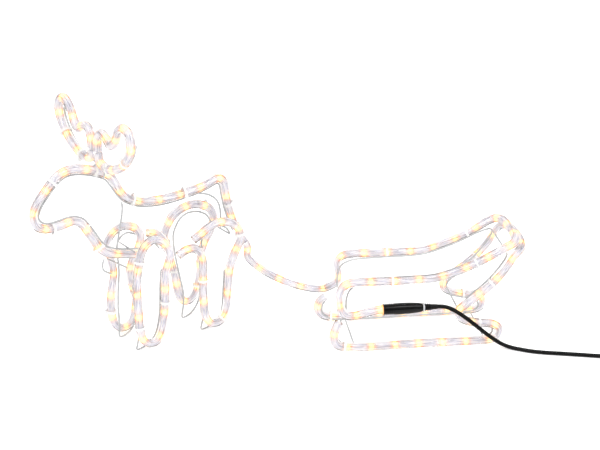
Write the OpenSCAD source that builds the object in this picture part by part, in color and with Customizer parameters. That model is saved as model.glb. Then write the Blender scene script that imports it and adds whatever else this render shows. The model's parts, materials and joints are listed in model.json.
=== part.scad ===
// Yard reindeer towing a sleigh, outlined in rope light on a bent wire frame.
// Millimetres, +Z up, noses towards -X. The sleigh runs along X, and the
// reindeer stands turned on the end of its flexible tow rope.

/* [Rope light] */
// Diameter of the clear rope
rope_d = 13; // [12:0.5:13]
// Sides of the rope's cross-section
rope_sides = 10; // [6:2:12]
// Distance from one LED to the next
led_pitch = 36; // [28:1:42]

/* [Frame] */
// Diameter of the bent steel wire
wire_d = 3; // [2.5:0.1:3]
// Distance from the reindeer's middle to a leg rope
leg_half = 34; // [34:1:38]
// Distance from the sleigh's middle to a side rope
side_half = 52; // [50:1:56]

/* [Pose at rest] */
// Turn of the reindeer away from the sleigh's line
reindeer_turn = 29; // [29:1:31]

/* [Power lead] */
// Diameter of the black lead
lead_d = 6.2; // [6:0.1:6.2]
// Diameter of the connector
connector_d = 17.5; // [16.5:0.1:18]
// Length of the connector body
connector_l = 60; // [56:1:61]

/* [Hidden] */
$fn = 48;

CLEAR = "whitesmoke";
WIRE = "gainsboro";
GLOW = "orange";
BLACK = "dimgray";
FORE = [1, 0, 0];
SIDE = [0, 1, 0];
UP = [0, 0, 1];

wire_sides = 6;
lead_sides = 8;
rope_step = 13;
wire_step = 15;
wire_gap = 0.15;
wire_offset = rope_d / 2 + wire_d / 2 + wire_gap;
leg_wire_y = leg_half - wire_offset;
side_wire_y = side_half - wire_offset;
// Height of a rope that rests on the ground on one of its flats
ground_z = rope_d / 2 * cos(180 / rope_sides);

// Where the reindeer's and the sleigh's own frames stand
reindeer_at = [-237.5, -4.8, 0];
sleigh_at = [75.5, -15.8, 0];

// ---- Curves ----

// A list of [a, b] as points in an upright plane that looks along Y
function upright(pts, y) = [for (p = pts) [p[0], y, p[1]]];

// A list of [y, z] as points in a plane that looks along X
function crosswise(pts, x, s) = [for (p = pts) [x, s * p[0], p[1]]];

function unit(v) = v / norm(v);

// Slope of the curve at point i, per millimetre of chord
function slope(p, i, closed) =
  let (n = len(p),
       a = closed ? p[(i + n - 1) % n] : p[max(i - 1, 0)],
       b = p[i],
       c = closed ? p[(i + 1) % n] : p[min(i + 1, n - 1)])
  (c - a) / (norm(c - b) + norm(b - a));

function sub(list, a, b) = [for (i = [a : b]) list[i]];

function hermite(a, b, ta, tb, t) =
  (2 * t^3 - 3 * t^2 + 1) * a + (t^3 - 2 * t^2 + t) * ta
  + (-2 * t^3 + 3 * t^2) * b + (t^3 - t^2) * tb;

// A smooth curve through the points, sampled about every step
function curve(p, step, closed = false) =
  let (n = len(p), last = closed ? n : n - 1)
  concat(
    [for (i = [0 : last - 1])
      let (a = p[i], b = p[(i + 1) % n], d = norm(b - a), m = max(1, ceil(d / step - 0.25)))
      for (k = [0 : m - 1])
        hermite(a, b, d * slope(p, i, closed), d * slope(p, (i + 1) % n, closed), k / m)],
    closed ? [] : [p[n - 1]]);

// Samples of a curve up to point k of its list
function samples_to(p, step, k) =
  k == 0 ? 0 : max(1, ceil(norm(p[k] - p[k - 1]) / step - 0.25)) + samples_to(p, step, k - 1);

// The direction of a curve where it passes point k of its list
function direction_at(p, step, k) = heading(curve(p, step), samples_to(p, step, k), false);

// The stretch of a curve from point a to point b of its list. An end that is cut
// from the rest of the rope is drawn back by half a gap.
cut_gap = 0.6;
function stretch(p, step, a, b) =
  let (path = curve(p, step), i = samples_to(p, step, a), j = samples_to(p, step, b),
       from = path[i] + (a > 0 ? cut_gap / 2 : 0) * direction_at(p, step, a),
       to = path[j] - (b < len(p) - 1 ? cut_gap / 2 : 0) * direction_at(p, step, b))
  concat([from], sub(path, i + 1, j - 1), [to]);

// Direction of travel at sample i of a path
function heading(path, i, closed) =
  let (n = len(path))
  closed ? unit(path[(i + 1) % n] - path[(i + n - 1) % n])
         : unit(path[min(i + 1, n - 1)] - path[max(i - 1, 0)]);

// One ring of a tube: across is square to the heading and to the given normal
function ring(p, t, normal, r, sides) =
  let (u = unit(cross(normal, t)), v = cross(t, u))
  [for (k = [0 : sides - 1])
    let (a = 360 * (k + 0.5) / sides) p + r * (cos(a) * u + sin(a) * v)];

// A path moved sideways within its own plane
function beside(path, normal, d) =
  [for (i = [0 : len(path) - 1]) path[i] + d * unit(cross(normal, heading(path, i, false)))];

// Rings that round off a tube's end, at the given angles over the dome
function dome(p, t, normal, r, sides, angles) =
  [for (a = angles) ring(p + r * sin(a) * t, t, normal, r * cos(abs(a)), sides)];

// A tube along a path. Each end, [first, last], is flat or domed, and looks the way
// that ends says, or else along its last step.
module tube(path, r, sides, normal, closed = false, domed = [false, false], ends = []) {
  n = len(path);
  free = len(ends) == 0;
  first = free ? heading(path, 0, closed) : ends[0];
  final = free ? heading(path, n - 1, closed) : ends[1];
  rings = concat(
    domed[0] ? dome(path[0], first, normal, r, sides, [-70, -35]) : [],
    [ring(path[0], first, normal, r, sides)],
    [for (i = [1 : n - 2]) ring(path[i], heading(path, i, closed), normal, r, sides)],
    [ring(path[n - 1], final, normal, r, sides)],
    domed[1] ? dome(path[n - 1], final, normal, r, sides, [35, 70]) : []);
  m = len(rings);
  points = [for (g = rings) each g];
  walls = [for (i = [0 : (closed ? m : m - 1) - 1]) for (k = [0 : sides - 1])
    let (j = (i + 1) % m, l = (k + 1) % sides)
    [i * sides + k, j * sides + k, j * sides + l, i * sides + l]];
  start = [[for (k = [0 : sides - 1]) k]];
  end = [[for (k = [sides - 1 : -1 : 0]) (m - 1) * sides + k]];
  polyhedron(points, closed ? walls : concat(start, walls, end), convexity = 6);
}

module rope(path, normal, closed = false, domed = [false, false])
  color(CLEAR) tube(path, rope_d / 2, rope_sides, normal, closed, domed);

// The rope along a stretch of a curve, whose cut ends meet those of its neighbours squarely
module rope_run(p, a, b, normal, domed = [false, false])
  color(CLEAR) tube(stretch(p, rope_step, a, b), rope_d / 2, rope_sides, normal, false, domed,
                    [direction_at(p, rope_step, a), direction_at(p, rope_step, b)]);

module wire(path, normal)
  color(WIRE) tube(path, wire_d / 2, wire_sides, normal);

// ---- Stations along a path, for LEDs and ties ----

function run(path, n) = n == 0 ? 0 : norm(path[n] - path[n - 1]) + run(path, n - 1);
function path_length(path) = run(path, len(path) - 1);

// [point, heading] at a distance along a path
function station(path, s, i = 0) =
  let (d = norm(path[i + 1] - path[i]))
  (s <= d || i + 2 >= len(path))
    ? [path[i] + s * unit(path[i + 1] - path[i]), unit(path[i + 1] - path[i])]
    : station(path, s - d, i + 1);

module along(path, s) {
  q = station(path, s);
  t = q[1];
  translate(q[0]) rotate([0, acos(t[2]), atan2(t[1], t[0])]) children();
}

led = [3, 3, 7];
module leds(path) {
  count = floor((path_length(path) - led[2]) / led_pitch);
  margin = (path_length(path) - count * led_pitch) / 2;
  color(GLOW) for (i = [0 : count]) along(path, margin + i * led_pitch) cube(led, center = true);
}

tie_w = 3.5;
tie_t = 0.9;
tie_head = [5, 4.5, 4.5];
// A clear tie round the rope, with its square head on the side that toward points to
module tie(path, s, toward) {
  q = station(path, s);
  t = q[1];
  y = unit(cross(t, toward));
  x = cross(y, t);
  at = q[0];
  color(CLEAR) multmatrix([
    [x[0], y[0], t[0], at[0]], [x[1], y[1], t[1], at[1]], [x[2], y[2], t[2], at[2]], [0, 0, 0, 1]]) {
    difference() {
      cylinder(r = rope_d / 2 + 0.1 + tie_t, h = tie_w, center = true);
      cylinder(r = rope_d / 2 + 0.1, h = tie_w + 1, center = true);
    }
    translate([rope_d / 2 + 0.6 + tie_head[0] / 2, 0, 0]) cube(tie_head, center = true);
  }
}

// A tie in an upright plane, with its head inside the outline
module inner_tie(path, s) tie(path, s, cross(SIDE, station(path, s)[1]));

// ---- Reindeer ----

module in_reindeer() translate(reindeer_at) rotate([0, 0, reindeer_turn]) children();

// The outline is one rope, from the chest round the head and along the back to the tail
chest = [[32, 142], [10, 147], [-10, 152], [-25, 158], [-37, 169], [-47, 186], [-57, 203]];
head = [
  [-64, 214], [-76, 220], [-97, 218], [-119, 218], [-133, 227], [-137, 243], [-130, 257], [-116, 273],
  [-101, 288], [-86, 296], [-68, 297], [-48, 292], [-30, 285], [-15, 276]];
back = [
  [-6, 263], [2, 248], [12, 236], [26, 228], [46, 222], [75, 219], [105, 220], [136, 223], [152, 227]];
rump = [
  [164, 231], [174, 229], [180, 220], [182, 205], [186, 185], [193, 163], [202, 141], [212, 121],
  [222, 104]];
outline = upright(concat(chest, head, back, rump), 0);
chest_end = len(chest) - 1;
head_end = chest_end + len(head);
back_end = head_end + len(back);
chest_path = stretch(outline, rope_step, 0, chest_end);
head_path = stretch(outline, rope_step, chest_end, head_end);
back_path = stretch(outline, rope_step, head_end, back_end);
rump_path = stretch(outline, rope_step, back_end, len(outline) - 1);

front_leg_near = [
  [36, 175], [23, 172], [13, 161], [8, 145], [4, 125], [2, 100], [3, 68], [4, 40], [9, 21], [20, 11],
  [32, 12], [42, 27], [48, 56], [50, 90], [51, 116], [57, 134], [60, 149], [51, 165]];
front_leg_far = [
  [21, 177], [5, 172], [-6, 160], [-8, 146], [-3, 130], [1, 108], [-3, 85], [-6, 50], [-1, 24], [11, 12],
  [25, 15], [34, 31], [38, 56], [32, 82], [30, 104], [37, 122], [46, 138], [49, 157], [39, 171]];
hind_leg_near = [
  [75, 140], [90, 145], [104, 143], [113, 133], [117, 116], [116, 85], [116, 54], [119, 27], [130, 12],
  [145, 12], [156, 26], [161, 58], [165, 96], [174, 118], [184, 138], [181, 157], [167, 170],
  [148, 175], [128, 171], [112, 162.5], [102, 158]];
hind_leg_far = [
  [63, 156], [76, 152], [87, 142], [94, 126], [99, 106], [107, 72], [113, 42], [120, 28], [131, 24],
  [143, 34], [150, 56], [156, 92], [164, 117], [175, 135], [181, 153], [173, 170], [156, 180],
  [137, 183], [119, 179]];
// The far hind rope's last stretch comes down on the outer side of its own knee
hind_far_end = [
  [107, leg_half + 0.8, 171], [103, leg_half + 3.5, 162], [101, leg_half + 9, 150],
  [101, leg_half + 13.5, 137], [102, leg_half + 14.5, 122]];
front_near_path = curve(upright(front_leg_near, -leg_half), rope_step, true);
front_far_path = curve(upright(front_leg_far, leg_half), rope_step, true);
hind_near_path = curve(upright(hind_leg_near, -leg_half), rope_step);
hind_far_path = curve(concat(upright(hind_leg_far, leg_half), hind_far_end), rope_step);

antler_x = -35;
antler = [
  [9, 316], [12, 305], [26, 300], [50, 303], [77, 316], [96, 334], [104, 353], [99, 368], [85, 373],
  [70, 364], [59, 347], [47, 338], [34, 345], [20, 348], [10, 338], [8, 327]];
function antler_path(s) = curve(crosswise(antler, antler_x, s), rope_step, true);

module head_rope() in_reindeer() rope_run(outline, chest_end, head_end, SIDE);
module back_rope() in_reindeer() rope_run(outline, head_end, back_end, SIDE);
module rump_rope() in_reindeer() rope_run(outline, back_end, len(outline) - 1, SIDE, [false, true]);
module chest_rope() in_reindeer() rope_run(outline, 0, chest_end, SIDE);
module front_leg_rope_near() in_reindeer() rope(front_near_path, SIDE, true);
module front_leg_rope_far() in_reindeer() rope(front_far_path, SIDE, true);
module hind_leg_rope_near() in_reindeer() rope(hind_near_path, SIDE);
module hind_leg_rope_far() in_reindeer() rope(hind_far_path, SIDE);
module antler_rope_near() in_reindeer() rope(antler_path(-1), FORE, true);
module antler_rope_far() in_reindeer() rope(antler_path(1), FORE, true);

// The cap that closes the rope's last end, on the far hind leg
cap_l = 9;
module rope_end_cap()
  color(CLEAR) in_reindeer() along(hind_far_path, path_length(hind_far_path))
    translate([0, 0, 0.1]) union() {
      cylinder(d = rope_d + 1, h = cap_l - 2);
      translate([0, 0, cap_l - 2]) cylinder(d1 = rope_d + 1, d2 = rope_d - 3, h = 2);
    }

module head_wire() in_reindeer() wire(beside(head_path, SIDE, wire_offset), SIDE);
back_wire_path = stretch(outline, wire_step, head_end, len(outline) - 3);
module back_wire() in_reindeer() wire(beside(back_wire_path, SIDE, wire_offset), SIDE);
module chest_wire() in_reindeer() wire(beside(chest_path, SIDE, wire_offset), SIDE);
module neck_brace()
  in_reindeer() wire(curve(upright([[3, 232], [4, 220], [0, 200], [-9, 162]], 0), wire_step), SIDE);
module rump_brace()
  in_reindeer() wire(curve(upright([[134, 214], [152, 209], [165, 198], [172, 180], [172, 148]], 0),
                           wire_step), SIDE);

module chest_struts() in_reindeer() {
  wire(curve([[-30, 0, 150], [-31, 6, 138], [-24, 16, 123], [-6, 25.5, 110]], wire_step), SIDE);
  wire([[-26, 2, 149], [24, 25.5, 110]], SIDE);
}

front_bar = [8, 158.5];
hind_bar = [172, 147];
module cross_bar(at, half) wire([[at[0], -half, at[1]], [at[0], half, at[1]]], UP);
module front_cross_wire() in_reindeer() cross_bar(front_bar, leg_wire_y);
module hind_cross_wire() in_reindeer() cross_bar(hind_bar, leg_wire_y);

// Each leg's wire loop steps down past the rope to a pointed hoof
front_wire_near = [
  [48, 154], [40, 167], [26, 167], [15, 160], [10, 144], [8, 110], [8, 70], [8, 36], [3, 8], [1, 3.5],
  [3.5, 1.5], [14, 3], [28, 10], [38, 26], [44, 56], [46, 92], [49, 122]];
front_wire_far = [
  [38, 162], [26, 170], [14, 167], [5, 157], [5, 140], [7, 112], [4, 84], [2, 48], [3, 20], [1, 6],
  [2, 2.5], [5, 1.5], [16, 3.5], [26, 12], [31, 32], [32, 56], [27, 82]];
hind_wire_near = [
  [172, 147], [166, 160], [150, 168], [132, 166], [121, 154], [121, 130], [121, 90], [120, 50], [120, 22],
  [115, 6], [115, 2.5], [118, 1.5], [130, 3], [144, 6], [153, 20], [157, 56], [160, 92]];
hind_wire_far = [
  [172, 147], [163, 165], [148, 174], [130, 176], [112, 166], [103, 150], [103, 126], [107, 98], [113, 66],
  [118, 36], [113, 7], [113, 2.5], [116, 1.5], [130, 4], [142, 18], [148, 40], [150, 66]];
module leg_wire(pts, s) wire(curve(upright(pts, s * leg_wire_y), wire_step), SIDE);
module front_leg_wire_near() in_reindeer() leg_wire(front_wire_near, -1);
module front_leg_wire_far() in_reindeer() leg_wire(front_wire_far, 1);
module hind_leg_wire_near() in_reindeer() leg_wire(hind_wire_near, -1);
module hind_leg_wire_far() in_reindeer() leg_wire(hind_wire_far, 1);

antler_wire_pts = [
  [0.6, 273.4], [5.2, 275.4], [8.6, 280.5], [10, 288], [15, 295], [28, 297], [52, 301], [79, 315],
  [97, 335], [104, 353]];
module antler_wire(s)
  wire(curve(crosswise(antler_wire_pts, antler_x + wire_offset, s), wire_step), FORE);
module antler_wire_near() in_reindeer() antler_wire(-1);
module antler_wire_far() in_reindeer() antler_wire(1);

module reindeer_leds() in_reindeer() {
  leds(head_path);
  leds(back_path);
  leds(rump_path);
  leds(chest_path);
  leds(front_near_path);
  leds(front_far_path);
  leds(hind_near_path);
  leds(hind_far_path);
  leds(antler_path(-1));
  leds(antler_path(1));
}

module reindeer_ties() in_reindeer() {
  for (s = [60, 160, 232]) inner_tie(head_path, s);
  for (s = [60, 150]) inner_tie(back_path, s);
  inner_tie(rump_path, 70);
  inner_tie(chest_path, 78);
  for (s = [45, 150, 260]) tie(front_near_path, s, SIDE);
  for (s = [45, 150, 260]) tie(front_far_path, s, -SIDE);
  for (s = [90, 190, 330]) tie(hind_near_path, s, SIDE);
  for (s = [90, 190, 330]) tie(hind_far_path, s, -SIDE);
  for (s = [38, 92]) tie(antler_path(-1), s, FORE);
  for (s = [38, 92]) tie(antler_path(1), s, FORE);
}

// ---- Tow rope ----

module tow_rope() in_sleigh() rope(tow_path, UP, domed = [true, true]);
tow_path = curve([
  [-120, 110, 92], [-109, 105, 80], [-93, 98, 69], [-72, 89, 60], [-50, 78, 54], [-30, 70, 51]], rope_step);
module tow_leds() in_sleigh() leds(tow_path);

// ---- Sleigh ----

module in_sleigh() translate(sleigh_at) children();

// The upper rope comes in at the tow, runs back along the far rail, crosses over and
// comes forward along the near rail, and down and back into the connector
tow_stub = [[-16, 66, 50], [-4, 62, 53]];
front_far = [[12, 68], [14, 82], [11, 96], [16, 108], [29, 112]];
front_near = [
  [79, 66], [62, 66], [48, 64], [34, 60.5], [20, 58], [8, 61], [2, 71], [0, 85], [1, 98], [7, 108],
  [19, 112]];
rail = [[70, 112], [110, 112], [140, 113], [165, 119], [200, 132], [230, 147], [248, 157]];
upper_cross = [[258, -49, 161], [264, -38, 163], [266, -18, 164]];

// The lower rope is a runner, a heel and a back edge on each side, and a cross strand.
// The near runner's front rises under the upper rope, and the far one curls further round.
runner_front_near = [[-1, 49], [-5, 40], [-8, 30], [-8, 21], [-3, 12], [7, 8]];
runner_front_far = [[-6, 43], [-13, 38], [-17, 28], [-16, 18], [-9, 11], [1, 7.6]];
runner = [[16, ground_z + 0.6], [34, ground_z], [90, ground_z], [160, ground_z], [220, ground_z]];
heel = [
  [232, ground_z + 0.6], [241, 12], [243, 23], [232, 32], [212, 35], [192, 40], [181, 48], [181, 59],
  [190, 67]];
back_edge = [[204, 78], [224, 95], [245, 119], [259, 142]];
lower_cross = [[265, -51, 148], [272, -43, 151], [277, -20, 152]];

function reversed(pts) = [for (i = [len(pts) - 1 : -1 : 0]) pts[i]];
function flipped(pts) = [for (p = reversed(pts)) [p[0], -p[1], p[2]]];
near_rail = upright(rail, -side_half);
upper = concat(
  upright(front_near, -side_half), near_rail, upper_cross, flipped(upper_cross), flipped(near_rail),
  upright(reversed(front_far), side_half), reversed(tow_stub));
front_end = len(front_near) - 1;
rail_end = front_end + len(rail);
upper_cross_end = rail_end + 2 * len(upper_cross) + 1;
far_rail_end = upper_cross_end + len(rail);
function upper_run(a, b) = stretch(upper, rope_step, a, b);
front_near_run = upper_run(0, front_end);
rail_near_run = upper_run(front_end, rail_end);
upper_cross_run = upper_run(rail_end, upper_cross_end);
rail_far_run = upper_run(upper_cross_end, far_rail_end);
front_far_run = upper_run(far_rail_end, len(upper) - 1);

function lower_side(front) = upright(concat(front, runner, heel, back_edge), -side_half);
lower = concat(
  lower_side(runner_front_near), lower_cross, flipped(lower_cross), flipped(lower_side(runner_front_far)));
runner_end = len(runner_front_near) + len(runner) - 1;
heel_end = runner_end + len(heel);
edge_end = heel_end + len(back_edge);
lower_end = len(lower) - 1;

// A run of the lower rope on the near side, s = -1, or its mirror image on the far side
function lower_run(a, b, s) =
  s < 0 ? stretch(lower, rope_step, a, b) : stretch(lower, rope_step, lower_end - b, lower_end - a);
function runner_path(s) = lower_run(0, runner_end, s);
function heel_path(s) = lower_run(runner_end, heel_end, s);
function back_edge_path(s) = lower_run(heel_end, edge_end, s);
lower_cross_run = lower_run(edge_end, lower_end - edge_end, -1);

module upper_rope(a, b, domed = [false, false]) in_sleigh() rope_run(upper, a, b, SIDE, domed);
module front_rope_near() upper_rope(0, front_end);
module rail_rope_near() upper_rope(front_end, rail_end);
module rail_rope_far() upper_rope(upper_cross_end, far_rail_end);
module front_rope_far() upper_rope(far_rail_end, len(upper) - 1, [false, true]);
module rear_cross_rope_upper() in_sleigh() rope_run(upper, rail_end, upper_cross_end, UP);

module lower_near(a, b) in_sleigh() rope_run(lower, a, b, SIDE);
module lower_far(a, b) lower_near(lower_end - b, lower_end - a);
module runner_rope_near() lower_near(0, runner_end);
module runner_rope_far() lower_far(0, runner_end);
module heel_rope_near() lower_near(runner_end, heel_end);
module heel_rope_far() lower_far(runner_end, heel_end);
module back_edge_rope_near() lower_near(heel_end, edge_end);
module back_edge_rope_far() lower_far(heel_end, edge_end);
module rear_cross_rope_lower() in_sleigh() rope_run(lower, edge_end, lower_end - edge_end, UP);

side_wire = [
  [11, 62], [11, 84], [15, 97], [32, 106], [70, 108], [138, 109], [165, 115], [200, 128], [232, 143],
  [248, 148], [252, 142], [240, 121], [221, 98], [200, 80], [186, 63], [182, 53]];
runner_wire = [[16, 6], [110, 6], [226, 7], [237, 14], [233, 26], [214, 32], [190, 37]];
runner_wire_front_near = [[5, 51], [0, 40], [-3, 30], [-3, 20], [4, 10]];
runner_wire_front_far = [[-7, 39], [-12, 34], [-13, 24], [-11, 15], [0, 8]];
function side_wire_path(pts, s) = curve(upright(pts, s * side_wire_y), wire_step);
module side_wire_near() in_sleigh() wire(side_wire_path(side_wire, -1), SIDE);
module side_wire_far() in_sleigh() wire(side_wire_path(side_wire, 1), SIDE);
module runner_wire_near()
  in_sleigh() wire(side_wire_path(concat(runner_wire_front_near, runner_wire), -1), SIDE);
module runner_wire_far()
  in_sleigh() wire(side_wire_path(concat(runner_wire_front_far, runner_wire), 1), SIDE);

cross_bars = [[11, 64], [24, 6], [182, 53], [222, 7], [249, 147]];
module sleigh_cross_wires() in_sleigh() for (b = cross_bars) cross_bar(b, side_wire_y);

module sleigh_leds() in_sleigh() {
  leds(front_near_run);
  leds(front_far_run);
  leds(rail_near_run);
  leds(rail_far_run);
  leds(upper_cross_run);
  leds(lower_cross_run);
  for (s = [-1, 1]) {
    leds(back_edge_path(s));
    leds(heel_path(s));
    leds(runner_path(s));
  }
}

// A path of the far side as its mirror image runs, so that both sides are tied alike
function like_near(path, s) = s < 0 ? path : reversed(path);
module sleigh_ties() in_sleigh() for (s = [-1, 1]) {
  for (d = [60, 190]) tie(like_near(s < 0 ? rail_near_run : rail_far_run, s), d, -s * SIDE);
  tie(like_near(back_edge_path(s), s), 50, -s * SIDE);
  tie(like_near(heel_path(s), s), 68, -s * SIDE);
  tie(like_near(runner_path(s), s), 52, -s * SIDE);
}

// ---- Connector and power lead ----

connector_at = [64.5, -side_half, 66];
rib_n = 5;
rib_pitch = 3;
module on_connector() in_sleigh() translate(connector_at) rotate([0, 90, 0]) children();

module connector_body() color(BLACK) on_connector() difference() {
  union() {
    cylinder(d = connector_d - 1.6, h = 16);
    for (i = [0 : rib_n - 1]) translate([0, 0, 0.8 + i * rib_pitch]) cylinder(d = connector_d, h = 1.6);
    translate([0, 0, 15]) rotate_extrude() polygon([
      [0, 0], [connector_d / 2 - 0.5, 0], [connector_d / 2 - 0.1, 12], [connector_d / 2 - 0.5, 26],
      [connector_d / 2 - 1.6, connector_l - 20], [connector_d / 2 - 3, connector_l - 15],
      [0, connector_l - 15]]);
  }
  translate([0, 0, -1]) cylinder(d = rope_d + 0.4, h = 17);
  translate([0, 0, 15]) cylinder(d = 3, h = connector_l);
}

// The pair of contacts that push into the rope's end
module contact_pins() color("goldenrod") on_connector()
  for (s = [-1, 1]) translate([s * 2.4, 0, 4]) cylinder(d = 1.2, h = 14);

seal_t = 2.5;
module connector_seal() color("lightgray") on_connector() translate([0, 0, connector_l + 0.05])
  difference() {
    cylinder(d = connector_d - 4, h = seal_t);
    translate([0, 0, -1]) cylinder(d = 8, h = seal_t + 2);
  }

relief_l = 20;
relief_rings = 3;
module strain_relief() color(BLACK) on_connector() translate([0, 0, connector_l + seal_t + 0.1])
  difference() {
    union() {
      cylinder(d1 = 9.6, d2 = lead_d + 1.2, h = relief_l);
      for (i = [0 : relief_rings - 1])
        translate([0, 0, 0.8 + 3.2 * i]) cylinder(d = 11.4 - 0.4 * i, h = 2);
    }
    translate([0, 0, 4]) cylinder(d = lead_d + 0.1, h = relief_l);
  }

// The lead drops from the connector to the ground, passes the runner's end
// on the outside and runs to its coil
lead_z = lead_d / 2;
lead_points = [
  [207, -67.8, 66], [224, -67.8, 66], [233, -68.8, 65.4], [242, -72, 63.2], [252, -77, 58.6],
  [263, -81.4, 51.5], [274, -83.6, 42.6], [285, -84.6, 33], [296, -85, 23.6], [307, -86, 15],
  [318, -88.6, 8.2], [330, -93, 4.2], [343, -99.4, lead_z], [358, -107.5, lead_z],
  [377, -114.5, lead_z], [400, -120.5, lead_z], [426, -127.5, lead_z], [455, -135.5, lead_z],
  [484, -141.5, lead_z], [512, -147.5, lead_z]];
module power_lead() color(BLACK) tube(curve(lead_points, 14), lead_d / 2, lead_sides, UP);

// Five turns, three below and two above, and a short tail to the plug
coil_at = [521, -108.5];
coil_r = 34;
coil_w = 3 * lead_d;
coil_h = 1.87 * lead_d;
module at_coil() translate([coil_at[0], coil_at[1], 0]) children();
module lead_coil() color(BLACK) at_coil() rotate_extrude()
  translate([coil_r - coil_w / 2, 0]) square([coil_w, coil_h]);

tail_r = 37;
tail_l = 31;
tail_z = 8.5;
plug_z = 12.5;
module lead_tail() color(BLACK) at_coil()
  tube([[tail_r, 0, tail_z], [tail_r, 10, tail_z + 0.6], [tail_r, 21, plug_z - 1], [tail_r, tail_l, plug_z],
        [tail_r, tail_l + 8, plug_z]], lead_d / 2, lead_sides, UP);

band_w = 6;
band_t = 0.8;
module coil_tie() color(BLACK) at_coil() translate([0, coil_r, 0]) difference() {
  translate([-band_w / 2, -coil_w / 2 - band_t, 0]) cube([band_w, coil_w + 2 * band_t, coil_h + band_t]);
  translate([-band_w, -coil_w / 2 - 0.1, 0.5]) cube([2 * band_w, coil_w + 0.2, coil_h - 0.5]);
}

// A two-pin plug with a tapered neck, lying on the ground
plug_l = 34;
plug_neck_l = 20;
module at_plug() at_coil() translate([tail_r, tail_l, plug_z]) rotate([-90, 0, 0]) children();
module plug_body() color(BLACK) at_plug() difference() {
  union() {
    cylinder(d1 = lead_d + 2.4, d2 = 14, h = plug_neck_l);
    translate([0, 0, plug_neck_l]) cylinder(d1 = 14, d2 = 2 * plug_z, h = 6);
    translate([0, 0, plug_neck_l + 6]) cylinder(d = 2 * plug_z, h = plug_l - 6);
  }
  translate([0, 0, -1]) cylinder(d = lead_d + 0.1, h = 9);
}

pin_d = 4;
pin_l = 19;
pin_pitch = 19;
module plug_pins() color("silver") at_plug() for (s = [-1, 1])
  translate([s * pin_pitch / 2, 0, plug_neck_l + plug_l + 0.05]) cylinder(d = pin_d, h = pin_l);

head_rope();
back_rope();
rump_rope();
chest_rope();
front_leg_rope_near();
front_leg_rope_far();
hind_leg_rope_near();
hind_leg_rope_far();
antler_rope_near();
antler_rope_far();
rope_end_cap();
head_wire();
back_wire();
chest_wire();
neck_brace();
rump_brace();
chest_struts();
front_cross_wire();
hind_cross_wire();
front_leg_wire_near();
front_leg_wire_far();
hind_leg_wire_near();
hind_leg_wire_far();
antler_wire_near();
antler_wire_far();
reindeer_leds();
reindeer_ties();
tow_rope();
tow_leds();
front_rope_near();
front_rope_far();
rail_rope_near();
rail_rope_far();
back_edge_rope_near();
back_edge_rope_far();
heel_rope_near();
heel_rope_far();
runner_rope_near();
runner_rope_far();
rear_cross_rope_upper();
rear_cross_rope_lower();
side_wire_near();
side_wire_far();
runner_wire_near();
runner_wire_far();
sleigh_cross_wires();
sleigh_leds();
sleigh_ties();
connector_body();
contact_pins();
connector_seal();
strain_relief();
power_lead();
lead_coil();
lead_tail();
coil_tie();
plug_body();
plug_pins();
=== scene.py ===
"""The looks of a rope-light reindeer that tows a sleigh, around its CAD frame.

Metres, +Z up, noses towards -X. Lists of points are in millimetres, as in the
design, and smooth() turns them into metres. Turned profiles are in millimetres
too, and mm_profile() turns them.
"""
import json
import math

import bpy
import numpy as np
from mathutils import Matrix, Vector


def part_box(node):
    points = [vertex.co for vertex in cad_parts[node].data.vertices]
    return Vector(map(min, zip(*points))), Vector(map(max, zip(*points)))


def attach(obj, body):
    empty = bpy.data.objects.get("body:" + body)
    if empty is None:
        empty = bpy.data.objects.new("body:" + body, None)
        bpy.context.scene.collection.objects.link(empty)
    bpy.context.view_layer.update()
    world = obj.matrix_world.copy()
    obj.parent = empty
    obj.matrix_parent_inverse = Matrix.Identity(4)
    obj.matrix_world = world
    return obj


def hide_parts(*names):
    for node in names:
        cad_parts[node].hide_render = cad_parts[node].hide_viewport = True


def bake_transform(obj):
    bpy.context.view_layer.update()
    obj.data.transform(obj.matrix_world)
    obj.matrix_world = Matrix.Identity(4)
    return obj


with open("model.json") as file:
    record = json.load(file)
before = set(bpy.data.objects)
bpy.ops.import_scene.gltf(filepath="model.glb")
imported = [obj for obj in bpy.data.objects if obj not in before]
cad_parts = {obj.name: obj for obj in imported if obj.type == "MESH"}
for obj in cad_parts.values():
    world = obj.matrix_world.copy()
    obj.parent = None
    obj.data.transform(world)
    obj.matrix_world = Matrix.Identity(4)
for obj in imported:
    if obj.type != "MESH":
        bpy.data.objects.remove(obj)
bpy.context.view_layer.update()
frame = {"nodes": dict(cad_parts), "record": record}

# ---------------------------------------------------------------- sizes

ROPE_R = 0.0065
WIRE_R = 0.0015
# From the middle of the rope to the middle of the wire beside it
WIRE_OFFSET = ROPE_R + WIRE_R + 0.00015
LED_PITCH = 0.036
LEAD_D = 0.0062

# Millimetres: half the width between the legs and between the sleigh's sides,
# the runners' height, and the plane of the antlers
LEG_HALF = 34
SIDE_HALF = 52
GROUND_Z = 6.18
ANTLER_X = -35

# Where the reindeer's and the sleigh's own frames stand in the shared one
REINDEER_AT = (-237.5, -4.8, 0)
REINDEER_TURN = math.radians(29)
TURN_COS, TURN_SIN = math.cos(REINDEER_TURN), math.sin(REINDEER_TURN)
SLEIGH_AT = (75.5, -15.8, 0)

# Points of the swing axes, in the sleigh's own frame
FRONT_JOINT = (-119.4, 114.2, 98)
REAR_JOINT = (-23, 68, 50.3)
# How far past each axis the free stretch of the tow runs
SEAM = 0.022

# Points of a smooth curve between two given ones
SPAN_STEPS = 24

# ---------------------------------------------------------------- paths


def upright(points, y):
    """[x, z] points in an upright plane that looks along Y."""
    return [(p[0], y, p[1]) for p in points]


def in_reindeer(points):
    """Points of the reindeer's own frame, in the shared frame."""
    return [
        (REINDEER_AT[0] + TURN_COS * x - TURN_SIN * y,
         REINDEER_AT[1] + TURN_SIN * x + TURN_COS * y, z)
        for x, y, z in points]


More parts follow.
